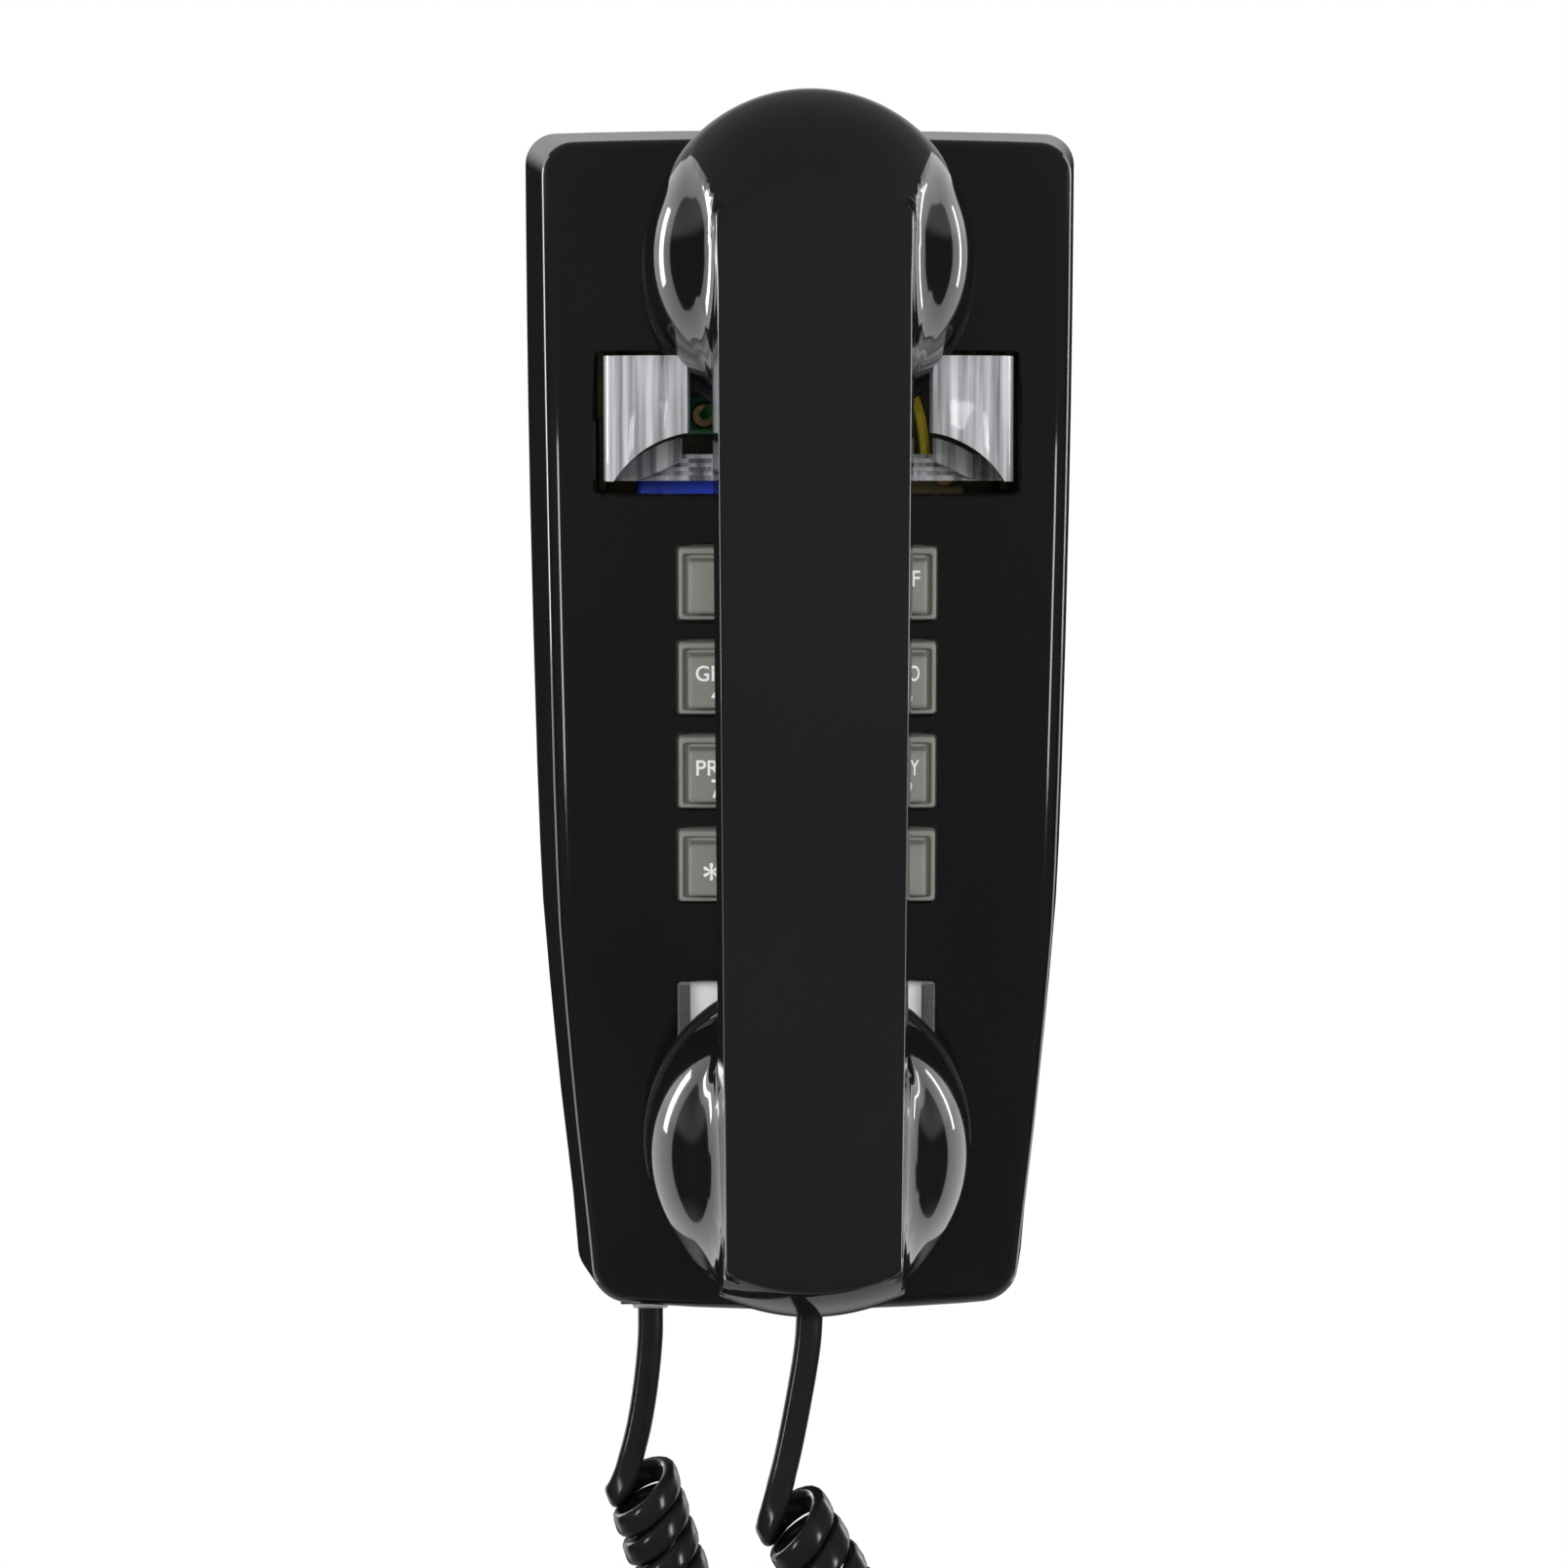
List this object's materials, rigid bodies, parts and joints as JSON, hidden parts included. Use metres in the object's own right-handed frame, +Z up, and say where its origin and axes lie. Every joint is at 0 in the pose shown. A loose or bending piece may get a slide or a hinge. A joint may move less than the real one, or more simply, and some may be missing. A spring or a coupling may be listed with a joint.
{
  "type": "wall telephone",
  "caption": "Black wall telephone: tapered housing with a push-button keypad and number card, clear hook cradle, hung handset with round cups, and a coiled cord looping below.",
  "frame": {"origin": "on the rear face of the base plate, which is the wall plane, midway across and near mid-height of the housing", "axes": "+X to the right seen from the front, +Y into the wall (the front faces -Y), +Z up"},
  "size_m": [0.1118, 0.1196, 0.3825],
  "materials": {
    "black_gloss": "gloss",
    "clear_plastic": "clear gloss",
    "key_plastic": "satin",
    "dark_plastic": "satin",
    "cord_black": "gloss",
    "plug_clear": "clear gloss",
    "steel": "satin",
    "brass": "satin",
    "card": "matt",
    "mat": "matt",
    "board": "satin",
    "blue": "gloss",
    "yellow": "satin",
    "green": "satin",
    "wires": "matt"
  },
  "bodies": {
    "base": {"base_plate": "steel", "card_window": "clear_plastic", "cord_coil": "cord_black", "cord_jack": "dark_plastic", "cord_lead_base": "cord_black", "cord_lead_handset": "cord_black", "cord_plug_base": "plug_clear", "gong_left": "brass", "gong_right": "brass", "gong_screw_left": "steel", "gong_screw_right": "steel", "hook_bracket": "steel", "hook_pin": "steel", "hook_spring": "steel", "hook_switch": "dark_plastic", "housing": "black_gloss", "housing_screw": "steel", "keypad_board": "board", "keypad_frame": "dark_plastic", "keypad_mat": "mat", "keypad_screw_left": "steel", "keypad_screw_right": "steel", "line_jack": "dark_plastic", "main_board": "board", "number_card": "card", "ringer_coil": "brass", "ringer_frame": "steel", "speech_network": "blue", "terminal_plate": "brass", "terminal_screw_left": "brass", "terminal_screw_right": "brass", "terminal_strip": "board", "wire_green": "green", "wire_yellow": "yellow"},
    "handset": {"handset_shell": "black_gloss", "ear_cap": "black_gloss", "mouth_cap": "black_gloss", "receiver_unit": "dark_plastic", "transmitter_unit": "steel", "transmitter_cup": "dark_plastic", "handset_jack": "dark_plastic", "handset_wires": "wires", "cord_plug_handset": "plug_clear"},
    "cradle": {"hook_cradle": "clear_plastic"},
    "plunger": {"switch_plunger": "mat"},
    "bell_clapper": {"clapper": "steel"},
    "ringer_wheel": {"volume_wheel": "dark_plastic"},
    "key_1_cap": {"key_1": "key_plastic"},
    "key_2_cap": {"key_2": "key_plastic"},
    "key_3_cap": {"key_3": "key_plastic"},
    "key_4_cap": {"key_4": "key_plastic"},
    "key_5_cap": {"key_5": "key_plastic"},
    "key_6_cap": {"key_6": "key_plastic"},
    "key_7_cap": {"key_7": "key_plastic"},
    "key_8_cap": {"key_8": "key_plastic"},
    "key_9_cap": {"key_9": "key_plastic"},
    "key_star_cap": {"key_star": "key_plastic"},
    "key_0_cap": {"key_0": "key_plastic"},
    "key_pound_cap": {"key_pound": "key_plastic"}
  },
  "joints": [
    {"name": "handset_lift", "type": "slide", "parent": "base", "child": "handset", "axis": [0, -0.2079, 0.9781], "range_m": [0, 0.15]},
    {"name": "hook_pivot", "type": "hinge", "parent": "base", "child": "cradle", "pos_m": [0, -0.022, 0.078], "axis": [-1, 0, 0], "range_deg": [0, 7]},
    {"name": "plunger_slide", "type": "slide", "parent": "base", "child": "plunger", "axis": [0, 0, 1], "range_m": [0, 0.0016]},
    {"name": "clapper_swing", "type": "hinge", "parent": "base", "child": "bell_clapper", "pos_m": [0, -0.014, -0.085], "axis": [0, 1, 0], "range_deg": [-3, 3], "stiffness_Nm_per_rad": 0.004},
    {"name": "volume_turn", "type": "hinge", "parent": "base", "child": "ringer_wheel", "pos_m": [0.022, -0.0135, -0.106], "axis": [0, 1, 0], "range_deg": [0, 90]},
    {"name": "key_1_press", "type": "slide", "parent": "base", "child": "key_1_cap", "axis": [0, 0.9981, 0.0611], "range_m": [0, 0.002], "stiffness_N_per_m": 300, "springref_m": -0.0004},
    {"name": "key_2_press", "type": "slide", "parent": "base", "child": "key_2_cap", "axis": [0, 0.9981, 0.0611], "range_m": [0, 0.002], "stiffness_N_per_m": 300, "springref_m": -0.0004},
    {"name": "key_3_press", "type": "slide", "parent": "base", "child": "key_3_cap", "axis": [0, 0.9981, 0.0611], "range_m": [0, 0.002], "stiffness_N_per_m": 300, "springref_m": -0.0004},
    {"name": "key_4_press", "type": "slide", "parent": "base", "child": "key_4_cap", "axis": [0, 0.9981, 0.0611], "range_m": [0, 0.002], "stiffness_N_per_m": 300, "springref_m": -0.0004},
    {"name": "key_5_press", "type": "slide", "parent": "base", "child": "key_5_cap", "axis": [0, 0.9981, 0.0611], "range_m": [0, 0.002], "stiffness_N_per_m": 300, "springref_m": -0.0004},
    {"name": "key_6_press", "type": "slide", "parent": "base", "child": "key_6_cap", "axis": [0, 0.9981, 0.0611], "range_m": [0, 0.002], "stiffness_N_per_m": 300, "springref_m": -0.0004},
    {"name": "key_7_press", "type": "slide", "parent": "base", "child": "key_7_cap", "axis": [0, 0.9981, 0.0611], "range_m": [0, 0.002], "stiffness_N_per_m": 300, "springref_m": -0.0004},
    {"name": "key_8_press", "type": "slide", "parent": "base", "child": "key_8_cap", "axis": [0, 0.9981, 0.0611], "range_m": [0, 0.002], "stiffness_N_per_m": 300, "springref_m": -0.0004},
    {"name": "key_9_press", "type": "slide", "parent": "base", "child": "key_9_cap", "axis": [0, 0.9981, 0.0611], "range_m": [0, 0.002], "stiffness_N_per_m": 300, "springref_m": -0.0004},
    {"name": "key_star_press", "type": "slide", "parent": "base", "child": "key_star_cap", "axis": [0, 0.9981, 0.0611], "range_m": [0, 0.002], "stiffness_N_per_m": 300, "springref_m": -0.0004},
    {"name": "key_0_press", "type": "slide", "parent": "base", "child": "key_0_cap", "axis": [0, 0.9981, 0.0611], "range_m": [0, 0.002], "stiffness_N_per_m": 300, "springref_m": -0.0004},
    {"name": "key_pound_press", "type": "slide", "parent": "base", "child": "key_pound_cap", "axis": [0, 0.9981, 0.0611], "range_m": [0, 0.002], "stiffness_N_per_m": 300, "springref_m": -0.0004}
  ],
  "couplings": [
    {"joint": "hook_pivot", "follows": "handset_lift", "rad_per_m": 0.814},
    {"joint": "plunger_slide", "follows": "handset_lift", "ratio": 0.01}
  ]
}
